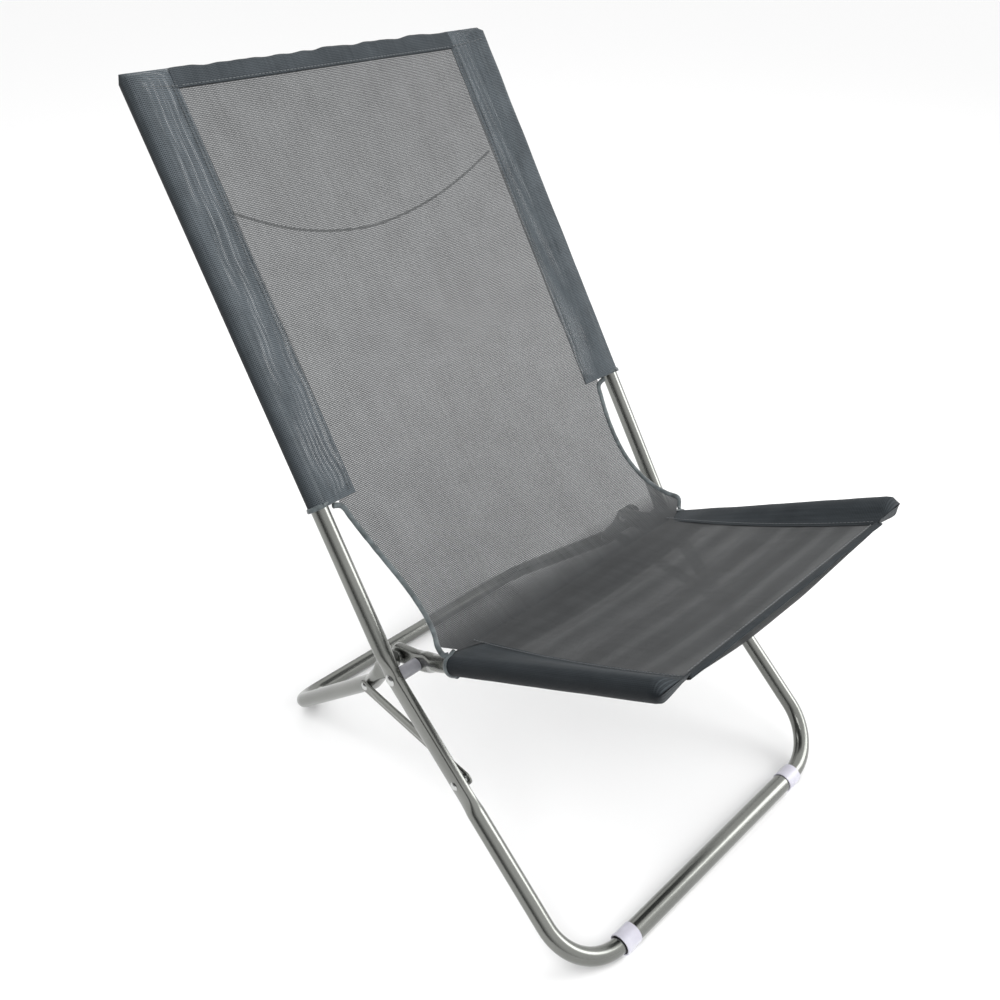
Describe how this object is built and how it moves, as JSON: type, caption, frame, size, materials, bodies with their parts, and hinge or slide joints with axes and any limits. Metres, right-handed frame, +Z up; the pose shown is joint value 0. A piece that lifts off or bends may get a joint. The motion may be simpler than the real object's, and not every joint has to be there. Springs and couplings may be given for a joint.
{
  "type": "folding chair",
  "caption": "Low folding camp chair: bent steel tube frame with a hinged seat frame, a hinged rear floor loop, flat side braces and a woven mesh sling.",
  "frame": {"origin": "on the floor, in the middle of the chair's width and midway between its foremost and rearmost points", "axes": "+X to the chair's own left side, the sitter faces -Y, +Z up"},
  "size_m": [0.4788, 0.6808, 0.7861],
  "materials": {
    "tube_steel": "satin silver-grey coating",
    "hardware_steel": "bright zinc plate",
    "clear_plastic": "translucent lavender grey",
    "dark_plastic": "matt black",
    "sling_mesh": "open plain weave of coated yarn, slate grey",
    "binding_tape": "folded woven tape",
    "cord": "twisted light grey cord"
  },
  "bodies": {
    "main_frame": {"frame_tube_left": "tube_steel", "frame_tube_right": "tube_steel", "front_floor_bar": "tube_steel", "foot_sleeve_left": "clear_plastic", "foot_sleeve_right": "clear_plastic", "back_end_plugs": "dark_plastic", "main_bolts": "hardware_steel", "main_bolt_nuts": "hardware_steel", "pivot_spacers": "clear_plastic", "brace_lower_rivets": "hardware_steel", "brace_washers": "hardware_steel", "back_sling": "sling_mesh", "back_sleeve_left": "sling_mesh", "back_sleeve_right": "sling_mesh", "top_hem": "sling_mesh", "carry_cord": "cord"},
    "seat": {"seat_rail_left": "tube_steel", "seat_rail_right": "tube_steel", "seat_end_plugs": "dark_plastic", "rear_pivot_rivets": "hardware_steel", "rear_pivot_washers": "hardware_steel", "seat_sling": "sling_mesh", "seat_sleeve_left": "sling_mesh", "seat_sleeve_right": "sling_mesh", "front_hem": "sling_mesh", "fold_sling": "sling_mesh", "binding_left": "binding_tape", "binding_right": "binding_tape"},
    "rear_legs": {"rear_leg_left": "tube_steel", "rear_leg_right": "tube_steel", "rear_floor_bar": "tube_steel", "brace_anchor_rivets": "hardware_steel"},
    "braces": {"brace_left": "hardware_steel", "brace_right": "hardware_steel", "brace_upper_rivets": "hardware_steel"}
  },
  "joints": [
    {"name": "seat_fold", "type": "hinge", "parent": "main_frame", "child": "seat", "pos_m": [0, -0.03174, 0.242], "axis": [-1, 0, 0], "range_deg": [0, 86], "deforming": ["fold_sling", "binding_left", "binding_right"]},
    {"name": "rear_fold", "type": "hinge", "parent": "seat", "child": "rear_legs", "pos_m": [0, 0.00226, 0.232], "axis": [1, 0, 0], "range_deg": [0, 162.2]},
    {"name": "brace_swing", "type": "hinge", "parent": "main_frame", "child": "braces", "pos_m": [0, -0.12842, 0.1612], "axis": [1, 0, 0], "range_deg": [0, 19.1]}
  ],
  "couplings": [
    {"joint": "rear_fold", "follows": "seat_fold", "ratio": 1.8848},
    {"joint": "brace_swing", "follows": "seat_fold", "ratio": 0.2214}
  ]
}
